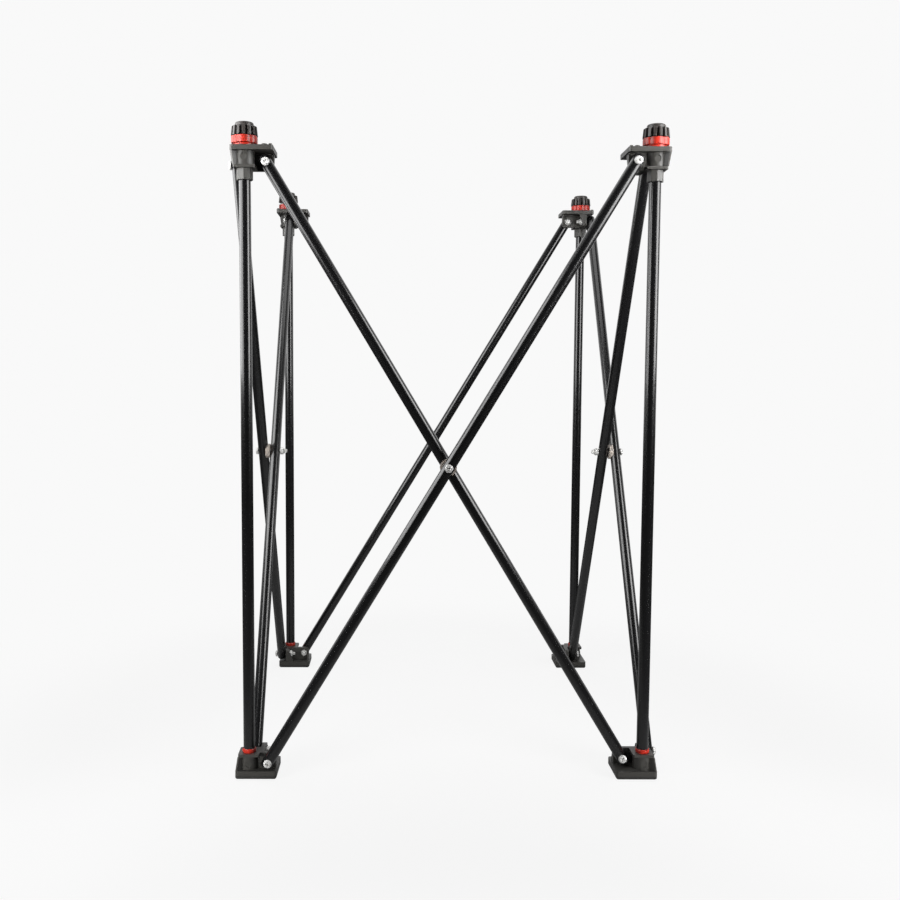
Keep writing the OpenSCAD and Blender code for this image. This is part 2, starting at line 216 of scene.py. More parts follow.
# %% Node helpers
def new_group(name, inputs, outputs):
    """An empty shader group with float sockets: inputs maps names to their default values."""
    group = bpy.data.node_groups.new(name, "ShaderNodeTree")
    for socket, value in inputs.items():
        made = group.interface.new_socket(socket, in_out="INPUT", socket_type="NodeSocketFloat")
        made.default_value = value
    for socket in outputs:
        group.interface.new_socket(socket, in_out="OUTPUT", socket_type="NodeSocketFloat")
    return group, group.nodes.new("NodeGroupInput"), group.nodes.new("NodeGroupOutput")


def feed(tree, socket, value):
    """Sets a socket to a number, or links another node's output to it."""
    if isinstance(value, (int, float)):
        socket.default_value = value
    else:
        tree.links.new(value, socket)


def math_node(tree, operation, first, second, clamp=False):
    """A Math node. Each operand is a socket or a number, and its result is returned."""
    node = tree.nodes.new("ShaderNodeMath")
    node.operation, node.use_clamp = operation, clamp
    feed(tree, node.inputs[0], first)
    feed(tree, node.inputs[1], second)
    return node.outputs[0]


def noise(tree, scale, detail, roughness=0.5):
    """Noise on Object coordinates, at so many cells to the metre. Its value is returned."""
    where = tree.nodes.new("ShaderNodeTexCoord").outputs["Object"]
    node = tree.nodes.new("ShaderNodeTexNoise")
    node.inputs["Detail"].default_value = detail
    node.inputs["Roughness"].default_value = roughness
    tree.links.new(where, node.inputs["Vector"])
    feed(tree, node.inputs["Scale"], scale)
    return node.outputs["Fac"]


# %% Grain, dust and uneven gloss
FINER, FINE_SHARE = 2.7, 0.33
PATCH_CELLS, PATCH_CONTRAST = 90.0, 1.4


def build_grain():
    """Height of a spark-eroded mould's texture: fine noise with a third of still finer noise."""
    tree, given, put = new_group("moulded_grain", {"Cells per metre": 1800.0}, ["Height"])
    cells = given.outputs["Cells per metre"]
    coarse = noise(tree, cells, detail=1.0)
    fine = noise(tree, math_node(tree, "MULTIPLY", cells, FINER), detail=1.0)
    height = math_node(tree, "ADD", coarse, math_node(tree, "MULTIPLY", fine, FINE_SHARE))
    tree.links.new(height, put.inputs["Height"])
    return tree


def build_dust():
    """Mask of dust: how far the surface faces up, times patchy noise, times an amount."""
    tree, given, put = new_group("dust_film", {"Amount": 0.3, "Everywhere": 0.3}, ["Mask"])
    split = tree.nodes.new("ShaderNodeSeparateXYZ")
    tree.links.new(tree.nodes.new("ShaderNodeTexCoord").outputs["Normal"], split.inputs[0])
    upward = math_node(tree, "MAXIMUM", split.outputs["Z"], given.outputs["Everywhere"])
    cloud = noise(tree, PATCH_CELLS, detail=5.0, roughness=0.65)
    patches = math_node(tree, "MULTIPLY", cloud, PATCH_CONTRAST, clamp=True)
    amount = math_node(tree, "MULTIPLY", upward, given.outputs["Amount"])
    mask = math_node(tree, "MULTIPLY", amount, patches, clamp=True)
    tree.links.new(mask, put.inputs["Mask"])
    return tree


def build_uneven():
    """Roughness that drifts about a middle value: middle + 2 swing (noise - 0.5)."""
    inputs = {"Middle": 0.4, "Swing": 0.1, "Cells per metre": 60.0}
    tree, given, put = new_group("uneven_gloss", inputs, ["Roughness"])
    cloud = noise(tree, given.outputs["Cells per metre"], detail=4.0, roughness=0.6)
    drift = math_node(tree, "SUBTRACT", cloud, 0.5)
    reach = math_node(tree, "MULTIPLY", given.outputs["Swing"], 2.0)
    swing = math_node(tree, "MULTIPLY", drift, reach)
    roughness = math_node(tree, "ADD", given.outputs["Middle"], swing, clamp=True)
    tree.links.new(roughness, put.inputs["Roughness"])
    return tree


GRAIN, DUST, UNEVEN = build_grain(), build_dust(), build_uneven()
print("node groups:", [group.name for group in (GRAIN, DUST, UNEVEN)])


# %% Parts of a material
def new_material(name):
    """A material with its Principled shader, ready for links."""
    material = bpy.data.materials.new(name)
    material.use_nodes = True
    return material, material.node_tree, material.node_tree.nodes["Principled BSDF"]


def use_group(tree, group, **values):
    """Places a node group and sets its inputs by name, with _ for a space."""
    node = tree.nodes.new("ShaderNodeGroup")
    node.node_tree = group
    for name, value in values.items():
        node.inputs[name.replace("_", " ")].default_value = value
    return node.outputs[0]


def set_gloss(tree, shader, middle, swing, cells=60.0):
    """Roughness drifts about a middle value, with so many cells to the metre."""
    roughness = use_group(tree, UNEVEN, Middle=middle, Swing=swing, Cells_per_metre=cells)
    tree.links.new(roughness, shader.inputs["Roughness"])


def bump(tree, shader, height, depth_mm):
    """Turns a height of 0 to 1 into a relief of that depth in millimetres."""
    node = tree.nodes.new("ShaderNodeBump")
    node.inputs["Strength"].default_value = 1.0
    node.inputs["Distance"].default_value = depth_mm * MM
    tree.links.new(height, node.inputs["Height"])
    tree.links.new(node.outputs["Normal"], shader.inputs["Normal"])


def mix_colours(tree, shader, mask, below, above):
    """Base Color goes from one colour to the other as the mask goes from 0 to 1."""
    node = tree.nodes.new("ShaderNodeMix")
    node.data_type = "RGBA"
    node.inputs["A"].default_value, node.inputs["B"].default_value = (*below, 1), (*above, 1)
    tree.links.new(mask, node.inputs["Factor"])
    tree.links.new(node.outputs["Result"], shader.inputs["Base Color"])


# %% [markdown]
# ## Finishes
#
# The tubes have a gloss black coat with a faint orange peel, which draws light out into long lines.
# The brackets and collars are black plastic from a grained mould: matt, slightly dusty, and so
# greyer than the tubes. The knobs are the same plastic, smoother. Rings and bushes are red plastic
# with a soft shine. Bolts are zinc plated, and the spacers are natural nylon, which lets a little
# light through.


# %% Coated tube
def build_tube_coat():
    """Near-black paint under a clear gloss coat, with orange peel and a trace of dust."""
    material, tree, shader = new_material("black_tube_coat")
    shader.inputs["Specular IOR Level"].default_value = 0.5
    shader.inputs["Coat Weight"].default_value = 0.8
    shader.inputs["Coat Roughness"].default_value = 0.14
    set_gloss(tree, shader, middle=0.27, swing=0.05, cells=40.0)
    dust = use_group(tree, DUST, Amount=0.035, Everywhere=0.4)
    mix_colours(tree, shader, dust, (0.0045, 0.0045, 0.005), (0.11, 0.105, 0.1))
    bump(tree, shader, noise(tree, 240.0, detail=1.0), depth_mm=0.0025)
    return material


# %% Moulded plastics
DUST_SHARE, DUST_LIFT = 0.72, 0.14


def build_plastic(name, colour, roughness, dust, cells, depth, shine=0.5):
    """Plastic from a grained mould, under dust whose colour is 0.72 of the plastic's, plus 0.14."""
    material, tree, shader = new_material(name)
    shader.inputs["Specular IOR Level"].default_value = shine
    set_gloss(tree, shader, middle=roughness, swing=0.07)
    film = use_group(tree, DUST, Amount=dust, Everywhere=0.45)
    pale = tuple(DUST_SHARE * channel + DUST_LIFT for channel in colour)
    mix_colours(tree, shader, film, colour, pale)
    bump(tree, shader, use_group(tree, GRAIN, Cells_per_metre=cells), depth)
    return material


# %% Plated steel
COOL_BLUE = 1.02
WARM_TINT = (0.93, 0.92, 0.86)


def build_zinc(name, bright, metal):
    """Zinc plate: a partly matt metal whose gloss and tone vary in fine patches."""
    material, tree, shader = new_material(name)
    shader.inputs["Metallic"].default_value = metal
    set_gloss(tree, shader, middle=0.46, swing=0.12, cells=700.0)
    cool = (bright, bright, bright * COOL_BLUE)
    warm = tuple(bright * channel for channel in WARM_TINT)
    mix_colours(tree, shader, noise(tree, 260.0, detail=3.0), cool, warm)
    bump(tree, shader, noise(tree, 2500.0, detail=1.0), depth_mm=0.006)
    return material


# %% Nylon
def build_nylon():
    """Undyed nylon: light enters about a millimetre deep, and the tone varies in soft clouds."""
    material, tree, shader = new_material("natural_nylon")
    shader.inputs["Subsurface Weight"].default_value = 0.2
    shader.inputs["Subsurface Radius"].default_value = (0.0012, 0.0011, 0.001)
    shader.inputs["Subsurface Scale"].default_value = 1.0
    set_gloss(tree, shader, middle=0.38, swing=0.06)
    cloud = noise(tree, 120.0, detail=2.0)
    mix_colours(tree, shader, cloud, (0.56, 0.50, 0.45), (0.47, 0.41, 0.36))
    bump(tree, shader, use_group(tree, GRAIN, Cells_per_metre=900.0), depth_mm=0.02)
    return material


# %% All finishes
TUBE = build_tube_coat()
BRACKET = build_plastic(
    "grained_black_plastic", (0.046, 0.044, 0.039), 0.42, dust=0.12, cells=1500.0, depth=0.05, shine=0.8
)
COLLAR = build_plastic(
    "collar_black_plastic", (0.068, 0.066, 0.060), 0.42, dust=0.12, cells=1500.0, depth=0.04, shine=0.7
)
KNOB = build_plastic(
    "smooth_black_plastic", (0.045, 0.039, 0.036), 0.32, dust=0.1, cells=1200.0, depth=0.015
)
PLUG = build_plastic(
    "plug_black_plastic", (0.011, 0.011, 0.0115), 0.36, dust=0.1, cells=1200.0, depth=0.02
)
RED = build_plastic("red_plastic", (0.52, 0.027, 0.013), 0.32, dust=0.06, cells=1200.0, depth=0.012)
SOLE = build_plastic("black_rubber", (0.036, 0.035, 0.033), 0.6, dust=0.12, cells=1000.0, depth=0.08)
INSERT = build_plastic("nut_insert_nylon", (0.50, 0.50, 0.48), 0.4, dust=0.1, cells=900.0, depth=0.02)
ZINC = build_zinc("zinc_plate", bright=0.8, metal=0.3)
STUD = build_zinc("stud_steel", bright=0.62, metal=1.0)
NYLON = build_nylon()
print("materials:", len(bpy.data.materials))

# %% [markdown]
# ## Posts and bars
#
# A post is an open tube with its inner wall and a broken edge at both ends. A bar is a tube closed by
# two domed plugs. Each dome is part of a ball about the pivot, so that the bar can turn beside the
# bracket, and a fine groove shows where plug and tube meet. Both are lathe work, with more faces
# round than the frame has, so that a line of light runs straight down them.


# %% Posts
TUBE_WALL, BROKEN_EDGE = 1.0, 0.25
AROUND_TUBE = 96


def post_shell():
    """Profile up the outside, over the broken edge and down the inside, closed on itself."""
    inside = TUBE_R - TUBE_WALL
    low, high = post_low[2], post_high[2]
    middle = (low + high) / 2
    upper = [(TUBE_R, middle), (TUBE_R, high), (inside, high)]
    lower = [(inside, low), (TUBE_R, low), (TUBE_R, middle)]
    profile = rounded(upper + lower, BROKEN_EDGE, 3)
    return stood(lathe(profile, AROUND_TUBE), (*POST_AT, 0))


for k, corner in enumerate(CORNERS):
    name, node, body = f"tube_post_{corner}", f"post_{corner}", f"hub_{corner}"
    make_piece(name, [post_shell()], k, TUBE, "tube", body, stands_for=[node])
print("posts:", len(CORNERS), "of", round(post_high[2] - post_low[2], 1), "mm")

# %% Bars
BAR_END, SEAM, BAR_EDGE = 8.5, 0.12, 0.2
DOME_START = math.sqrt(BAR_END**2 - TUBE_R**2)


def bar_pivots(kind):
    """The two end pivots of the front side's outer or inner bar, the lower one first."""
    lean, plane = (1, OUTER_Y) if kind == "outer" else (-1, INNER_Y)
    return np.array([-lean * PIVOT_X, plane, FOOT_Z]), np.array([lean * PIVOT_X, plane, TOP_Z])


def plug_shell(length):
    """The upper end's dome: radius is the root of (end squared - height squared), about the pivot."""
    height = np.linspace(DOME_START + SEAM, BAR_END, 16)
    radius = np.sqrt(np.maximum(BAR_END**2 - height**2, 0))
    edge = TUBE_R - 2 * SEAM
    skirt = [(0, DOME_START), (edge, DOME_START), (edge, DOME_START + SEAM)]
    profile = np.concatenate([skirt, np.stack([radius, height], axis=1)])
    return lathe(profile + [0, length / 2], AROUND_TUBE)


def bar_shell(length):
    """A tube with closed, slightly rounded ends, centred on the origin."""
    half = length / 2 + DOME_START
    profile = [(0, -half), (TUBE_R, -half), (TUBE_R, 0), (TUBE_R, half), (0, half)]
    return lathe(rounded(profile, (BAR_EDGE, 1, BAR_EDGE), 3), AROUND_TUBE)


for k, side in enumerate(SIDES):
    for kind in ("outer", "inner"):
        low, high = bar_pivots(kind)
        length, along, centre = np.linalg.norm(high - low), high - low, (low + high) / 2
        body = f"{side}_{kind}_bar"
        tube = stood(bar_shell(length), centre, along)
        make_piece(f"tube_bar_{side}_{kind}", [tube], k, TUBE, "tube", body, stands_for=[body])
        plugs = [stood(plug_shell(length), centre, along), stood(plug_shell(length), centre, -along)]
        make_piece(f"bar_plugs_{side}_{kind}", plugs, k, PLUG, "bracket", body)
print("bar length", round(float(length), 1), "mm between pivots")

# %% [markdown]
# ## Pieces that keep the frame's shape
#
# The brackets, soles, collars and spacers are already right, apart from their knife-sharp edges. A
# copy of each is merged into one skin, its flat triangles are dissolved into whole faces, and a
# Bevel modifier rounds only the edges that are truly edges, by less than a millimetre.


# %% Copy a node with rounded edges
EDGE_ANGLE, FLAT_ANGLE = 32, 0.5
FRAME_WELD = 0.002


def merged_mesh(node, name):
    """A node's loose triangles as one closed skin, with flat faces in one piece."""
    source = frame["nodes"][node].data
    points = np.empty(len(source.vertices) * 3, np.float32)
    source.vertices.foreach_get("co", points)
    corners = np.empty(len(source.loops), np.int32)
    source.loops.foreach_get("vertex_index", corners)
    mesh = bpy.data.meshes.new(name)
    mesh.from_pydata(points.reshape(-1, 3).tolist(), [], corners.reshape(-1, 3).tolist())
    finish_mesh(mesh, EDGE_ANGLE, FRAME_WELD, FLAT_ANGLE)
    return mesh


def rounded_copy(node, name, material, slot, body, edge):
    """A piece with the node's shape and its edges rounded by a width in millimetres."""
    obj = add_piece(name, merged_mesh(node, name), material, slot, body, stands_for=[node])
    bevel = obj.modifiers.new("rounded_edges", "BEVEL")
    bevel.width, bevel.segments = edge * MM, 2
    bevel.limit_method, bevel.angle_limit = "ANGLE", math.radians(EDGE_ANGLE)
    bevel.harden_normals = True


for corner in CORNERS:
    hub, foot = f"hub_{corner}", f"foot_{corner}"
    rounded_copy(f"top_bracket_{corner}", f"bracket_top_{corner}", BRACKET, "bracket", hub, edge=0.35)
    rounded_copy(f"foot_bracket_{corner}", f"bracket_foot_{corner}", BRACKET, "bracket", foot, edge=0.4)
    rounded_copy(f"post_collar_{corner}", f"collar_{corner}", COLLAR, "collar", hub, edge=0.3)
    rounded_copy(f"foot_sole_{corner}", f"sole_{corner}", SOLE, "sole", foot, edge=0.9)
for side in SIDES:
    body = f"{side}_outer_bar"
    rounded_copy(f"{side}_spacer", f"nylon_spacer_{side}", NYLON, "spacer", body, edge=0.3)
print("rounded copies:", 4 * len(CORNERS) + len(SIDES))

# %% [markdown]
# ## Foot bush
#
# A red bush lines the foot's socket, and its round ring sits on the rim as a soft stop for the post.
# One closed profile carries both: the thin sleeve inside the boss, and the fat round ring above it.

# %% Bushes
bush_low, bush_high = box_mm("foot_bush_fl")
BUSH_R = (bush_high[0] - bush_low[0]) / 2
RIM_GAP, POST_GAP = 0.05, 0.1
RING_FOOT = box_mm("foot_bracket_fl")[1][2] + RIM_GAP
BUSH_BORE, SLEEVE_WALL = TUBE_R + POST_GAP, 0.85
BULGE_SHARE, BORE_BEVEL = 0.8, 0.4


def bush_shell():
    """Sleeve and ring. The ring's outer edge is half of an ellipse as high as the ring."""
    half = (bush_high[2] - RING_FOOT) / 2
    angle = np.linspace(-math.pi / 2, math.pi / 2, 17)
    bulge = (BUSH_R - BUSH_BORE) * BULGE_SHARE
    radius, height = BUSH_R - bulge + bulge * np.cos(angle), RING_FOOT + half + half * np.sin(angle)
    sleeve = BUSH_BORE + SLEEVE_WALL
    start = [(BUSH_BORE, bush_low[2]), (sleeve, bush_low[2]), (sleeve, RING_FOOT)]
    arc = np.stack([radius, height], axis=1)
    end = [(BUSH_BORE, bush_high[2] - BORE_BEVEL), (BUSH_BORE, bush_low[2])]
    return stood(lathe(np.concatenate([start, arc, end]), 72), (*POST_AT, 0))


for k, corner in enumerate(CORNERS):
    name, node, body = f"red_bush_{corner}", f"foot_bush_{corner}", f"foot_{corner}"
    make_piece(name, [bush_shell()], k, RED, "red_plastic", body, stands_for=[node])
print("bush ring", round(2 * BUSH_R, 1), "mm across")

# %% [markdown]
# ## Bolts and nuts
#
# Every pivot has a pan head bolt with a cross recess, seen from outside, and a lock nut inside. The
# head is a height over a disc: a low dome, less the recess. A thread is a cylinder whose radius
# falls and rises once for each turn and pitch, which makes one continuous ridge.

# %% Bolt head
HEAD_R, HEAD_H = 4.5, 3.0
SIDE_SHARE, DOME_SHARE, DOME_POWER = 0.42, 0.58, 3.2
RECESS_R, RECESS_HALF_W, RECESS_DEPTH = 2.5, 0.6, 2.0
CENTRE_FLARE, NARROWING, FLOOR_RISE = 1.35, 0.5, 0.55
WALL_EASE, WALL_SLOPE, END_SLOPE = 0.08, 0.22, 0.35


def ramp(x, low, high):
    """Smooth step from 0 at low to 1 at high."""
    t = np.clip((x - low) / (high - low), 0, 1)
    return t * t * (3 - 2 * t)


def recess_depth(x, y):
    """Depth of a cross recess: two slots, wide and deep at the centre and closing towards their ends."""
    reach = np.maximum(np.abs(x), np.abs(y))
    across = np.minimum(np.abs(x), np.abs(y))
    half_width = RECESS_HALF_W * (CENTRE_FLARE - NARROWING * reach / RECESS_R)
    slot = ramp(half_width + WALL_EASE - across, 0, WALL_SLOPE)
    floor = 1 - FLOOR_RISE * np.clip(reach / RECESS_R, 0, 1) ** 2
    return RECESS_DEPTH * slot * ramp(RECESS_R - reach, 0, END_SLOPE) * floor


def head_shell():
    """Head that stands on Z = 0 and points down, from the centre of its face out and back.

    At a share s of the radius its height is 0.42 + 0.58 root(1 - s^3.2) of the full height, less the
    recess. The rings lie closer over the recess.
    """
    share = np.concatenate([np.linspace(0, 0.62, 34), np.linspace(0.66, 1, 14)])[:, None]
    radius, angle = share * HEAD_R, full_turn(128)
    dome = HEAD_H * (SIDE_SHARE + DOME_SHARE * np.sqrt(np.clip(1 - share**DOME_POWER, 0, 1)))
    recess = recess_depth(radius * np.cos(angle), radius * np.sin(angle))
    face = polar(radius, angle, recess - dome)
    rim = polar(HEAD_R, angle, 0 * angle)
    return skin(np.concatenate([face, rim, rim * [0.5, 0.5, 1]]))


# %% Thread
BOLT_R, BOLT_PITCH = 2.5, 0.8
THREAD_CUT, TIP_SHARE = 0.6, 0.72


def thread_shell(radius, pitch, low, high, around=32, per_pitch=8):
    """Radius falls by six tenths of the pitch and rises again, once for each turn and pitch."""
    rows = int((high - low) / pitch * per_pitch) + 1
    z = np.linspace(low, high, rows)[:, None]
    angle = full_turn(around)
    phase = (z / pitch - angle / (2 * math.pi)) % 1
    cut = THREAD_CUT * pitch * (1 - np.abs(2 * phase - 1))
    taper = np.minimum(1, (high - z) / pitch + TIP_SHARE)
    rings = polar(np.minimum(radius - cut, radius * taper), angle, z)
    tip = np.zeros((1, around, 3)) + [0, 0, high]
    return skin(np.concatenate([rings, tip]))


# %% Lock nut
NUT_ACROSS, NUT_H, NUT_COLLAR_H, BOLT_STUB = 8.0, 4.0, 1.2, 3.0
NUT_BORE, COLLAR_SET, COLLAR_LIP = BOLT_R * 0.9, 0.3, 1.0
FACE_SHARE, CHAMFER_SLOPE = 0.97, 1.9


def nut_shell():
    """Hexagon: half its width over the cosine of the angle from a flat. A cone chamfers both ends."""
    angle = full_turn(96)
    from_flat = (angle + math.pi / 6) % (math.pi / 3) - math.pi / 6
    hexagon = NUT_ACROSS / 2 / np.cos(from_flat)
    from_end = np.array([0, 0, 0.15, 0.35, 0.6])
    z = np.concatenate([from_end, NUT_H - from_end[::-1]])[:, None]
    cone = NUT_ACROSS / 2 * FACE_SHARE + CHAMFER_SLOPE * np.minimum(z, NUT_H - z)
    radius = np.minimum(hexagon, cone)
    radius[0], radius[-1] = NUT_BORE, NUT_BORE
    return skin(polar(radius, angle, z))


def insert_shell():
    """The nut's round locking end, crimped over a nylon ring."""
    outer, foot, top = NUT_ACROSS / 2 - COLLAR_SET, NUT_H - 0.2, NUT_H + NUT_COLLAR_H
    wall = [(NUT_BORE, foot), (outer, foot), (outer, top)]
    lip = [(outer - COLLAR_LIP, top), (BOLT_R * 0.95, top - 0.1)]
    return lathe(rounded(wall + lip, (0.1, 0.45, 0.2), 4), 48)


# %% Fit the fasteners
RUN_GAP, LUG_T, SPACER_T = 0.3, 5.0, 2.5
LUG_GRIP = 2 * TUBE_R + LUG_T + 2 * RUN_GAP
CROSS_GRIP = 4 * TUBE_R + SPACER_T + 2 * RUN_GAP
OUTER_FACE, INNER_FACE = OUTER_Y - (TUBE_R + RUN_GAP), INNER_Y - (TUBE_R + RUN_GAP)
INWARD = (0, 1, 0)


def bolt_shells(place, grip, spin):
    """Head, shank and threaded end of a bolt whose head stands on a place on the front side."""
    c, s = math.cos(spin), math.sin(spin)
    head, faces = head_shell()
    head = head @ np.array([[c, s, 0], [-s, c, 0], [0, 0, 1]])
    end = grip + NUT_H + NUT_COLLAR_H + BOLT_STUB
    shank = lathe([(0, 0), (BOLT_R, 0), (BOLT_R, grip), (0, grip)], 32)
    thread = thread_shell(BOLT_R, BOLT_PITCH, grip, end)
    return [stood(shell, place, INWARD) for shell in ((head, faces), shank, thread)]


def carried(shells, quarter):
    """Shells carried round the stand by quarter turns."""
    return [(turned(points, quarter), faces) for points, faces in shells]


def fit_fasteners(name, body, node, places):
    """Bolts, nuts and inserts for (quarter, x, y, z, grip, spin) places, as three pieces."""
    bolts, nuts, inserts = [], [], []
    for quarter, x, y, z, grip, spin in places:
        nut_at = (x, y + grip, z)
        bolts += carried(bolt_shells((x, y, z), grip, spin), quarter)
        nuts += carried([stood(nut_shell(), nut_at, INWARD)], quarter)
        inserts += carried([stood(insert_shell(), nut_at, INWARD)], quarter)
    make_piece(f"{name}_bolts", bolts, 0, ZINC, "zinc", body, stands_for=[node], sharp_angle=30)
    make_piece(f"{name}_nuts", nuts, 0, ZINC, "zinc", body, sharp_angle=30)
    make_piece(f"{name}_nut_inserts", inserts, 0, INSERT, "spacer", body, sharp_angle=30)


for k, corner in enumerate(CORNERS):
    before = (k + 3) % 4
    top = [
        (k, -PIVOT_X, INNER_FACE, TOP_Z, LUG_GRIP, 0.5 + k),
        (before, PIVOT_X, OUTER_FACE, TOP_Z, LUG_GRIP, 0.25 + 2 * k),
    ]
    foot = [
        (k, -PIVOT_X, OUTER_FACE, FOOT_Z, LUG_GRIP, 0.2 + k),
        (before, PIVOT_X, INNER_FACE, FOOT_Z, LUG_GRIP, 0.9 + k),
    ]
    fit_fasteners(f"top_{corner}", f"hub_{corner}", f"top_fasteners_{corner}", top)
    fit_fasteners(f"foot_{corner}", f"foot_{corner}", f"foot_fasteners_{corner}", foot)
for k, side in enumerate(SIDES):
    middle = [(k, 0, OUTER_FACE, MIDDLE_Z, CROSS_GRIP, 0.45 + k)]
    fit_fasteners(f"cross_{side}", f"{side}_outer_bar", f"{side}_mid_bolt", middle)
print("bolts:", 4 * len(CORNERS) + len(SIDES))

# %% [markdown]
# ## Levelling studs, lock rings and knobs
#
# A knob turns a threaded stud up or down in the post's top, and a lobed ring locks it. The ring's
# outline is six shallow arcs that meet in soft valleys. The knob blends two profiles round its axis:
# one over a rib and one down a groove, so ribs, flanks and fillets are a single skin.

# %% Studs
STUD_R, STUD_PITCH = 4.0, 1.25

for k, corner in enumerate(CORNERS):
    name, node, body = f"stud_thread_{corner}", f"leveller_stud_{corner}", f"stud_{corner}"
    low, high = box_mm(node)
    shell = stood(thread_shell(STUD_R, STUD_PITCH, low[2], high[2], 48), (*POST_AT, 0))
    make_piece(name, [shell], k, STUD, "zinc", body, stands_for=[node])
print("studs:", round(high[2] - low[2], 1), "mm long")

# %% Lock rings
RING_R, RING_NECK_R, RING_NECK_H, RING_VALLEY = 14.4, 10.75, 2.5, 1.3
RING_EDGES, THREAD_GAP = (0.4, 0.4, 0.7, 0.7, 0.3), 0.1
RING_LOBES = 6
HALF_LOBE = math.pi / RING_LOBES
RING_BORE = STUD_R + THREAD_GAP
RING_TURN = (34, 51, 20, 5)
ring_low, ring_high = box_mm("lock_ring_fl")


def ring_outline(angle):
    """Radius of lobes that are arcs about centres c out from the axis.

    It is c cos a + root(arc squared - (c sin a) squared), with a from the middle of the lobe.
    """
    valley = RING_R - RING_VALLEY
    c = (RING_R**2 - valley**2) / (2 * (RING_R - valley * math.cos(HALF_LOBE)))
    from_lobe = (angle + HALF_LOBE) % (2 * HALF_LOBE) - HALF_LOBE
    return c * np.cos(from_lobe) + np.sqrt((RING_R - c) ** 2 - (c * np.sin(from_lobe)) ** 2)


def ring_shell(turn):
    """A profile whose outer radius follows the outline, from the neck's foot over the lobes to the bore."""
    band, top = RING_NECK_H, ring_high[2] - ring_low[2]
    neck = [(RING_BORE, 0), (RING_NECK_R, 0), (RING_NECK_R, band)]
    lobe = [(RING_R, band), (RING_R, top), (RING_BORE, top), (RING_BORE, 0)]
    radius, height = rounded(neck + lobe, RING_EDGES, 4).T[:, :, None]
    angle = full_turn(RING_LOBES * 24)
    outline = ring_outline(angle - math.radians(turn)) / RING_R
    shrink = 1 + (outline - 1) * ramp(radius, RING_NECK_R, RING_R - 1)
    return stood(skin(polar(radius * shrink, angle, height)), (*POST_AT, ring_low[2]))


for k, corner in enumerate(CORNERS):
    name, node = f"lobed_ring_{corner}", f"lock_ring_{corner}"
    make_piece(name, [ring_shell(RING_TURN[k])], k, RED, "red_plastic", node, stands_for=[node])
print("lock rings:", RING_LOBES, "lobes,", 2 * RING_R, "mm across")

# %% Knobs
KNOB_R, KNOB_DRAFT, RIB_H, CROWN_H = 14.2, 1.0, 10.0, 4.4
GROOVE_DEPTH, GROOVE_HALF_W, KNOB_RIBS = 2.4, 1.3, 14
CROWN_R, FLAT_R, CROWN_FILLET = 9.75, 6.5, 0.35
RIB_FOOT_EDGE, RIB_TOP_EDGE, GROOVE_EDGE, FLANK = 0.5, 1.0, 0.05, 0.45
FIRST_PHASE, NEXT_PHASE = 0.1, 0.7


def knob_profile(foot_r, top_r, foot_edge, top_edge):
    """Half profile of the knob over a rib or a groove, from under it to the middle of its flat top."""
    height = RIB_H + CROWN_H
    corners = [(0, 0), (foot_r, 0), (top_r, RIB_H), (CROWN_R, RIB_H), (CROWN_R, height), (0, height)]
    return rounded(corners, (foot_edge, top_edge, CROWN_FILLET, CROWN_R - FLAT_R), 8)


def knob_shell(foot, phase):
    """Mixes the groove's profile and the rib's by how far the angle is from the nearest groove."""
    rib = knob_profile(KNOB_R, KNOB_R - KNOB_DRAFT, RIB_FOOT_EDGE, RIB_TOP_EDGE)
    core = KNOB_R - GROOVE_DEPTH - KNOB_DRAFT
    groove = knob_profile(core, core, GROOVE_EDGE, GROOVE_EDGE)
    angle = full_turn(KNOB_RIBS * 24)
    step = 2 * math.pi / KNOB_RIBS
    from_groove = np.abs((angle - phase + step / 2) % step - step / 2) * KNOB_R
    share = ramp(from_groove, GROOVE_HALF_W - FLANK, GROOVE_HALF_W + FLANK)[..., None]
    mixed = groove[:, None] * (1 - share) + rib[:, None] * share
    return stood(skin(polar(mixed[..., 0], angle, mixed[..., 1])), foot)


for k, corner in enumerate(CORNERS):
    name, node, body = f"ribbed_knob_{corner}", f"leveller_knob_{corner}", f"knob_{corner}"
    foot = (*POST_AT, box_mm(node)[0][2])
    shell = knob_shell(foot, FIRST_PHASE + NEXT_PHASE * k)
    make_piece(name, [shell], k, KNOB, "knob", body, stands_for=[node])

# %% [markdown]
# ## Floor and light
#
# The stand is shown on a white floor that runs into a white background. Near the stand the floor is
# partly matt, so that it takes the shadows. Further out it turns into even white, because lamps can't
# light it evenly that far. A high and a low lamp at either side light the matt plastic, and a large
# one hangs above. Two tall cards of light at the sides touch nothing but gloss, and draw the long
# lines down the tubes.


# %% Helpers for floor and world
def ramp_node(tree, value, low, high, at_low, at_high):
    """Smooth step of a socket's value: at_low up to low, and at_high from high on."""
    node = tree.nodes.new("ShaderNodeMapRange")
    node.interpolation_type = "SMOOTHSTEP"
    limits = {"From Min": low, "From Max": high, "To Min": at_low, "To Max": at_high}
    for name, number in limits.items():
        node.inputs[name].default_value = number
    tree.links.new(value, node.inputs["Value"])
    return node.outputs["Result"]


def mixed_shader(tree, share, first, second):
    """First shader where the share is 0 and second where it is 1."""
    mix = tree.nodes.new("ShaderNodeMixShader")
    for socket, output in zip(mix.inputs, (share, first, second)):
        tree.links.new(output, socket)
    return mix.outputs[0]


def ray_kinds(tree):
    """1 where a ray comes from the camera or a see-through surface, and 1 where it is a reflection."""
    path = tree.nodes.new("ShaderNodeLightPath")
    direct = math_node(tree, "MAXIMUM", path.outputs["Is Camera Ray"], path.outputs["Is Transmission Ray"])
    return direct, path.outputs["Is Glossy Ray"]


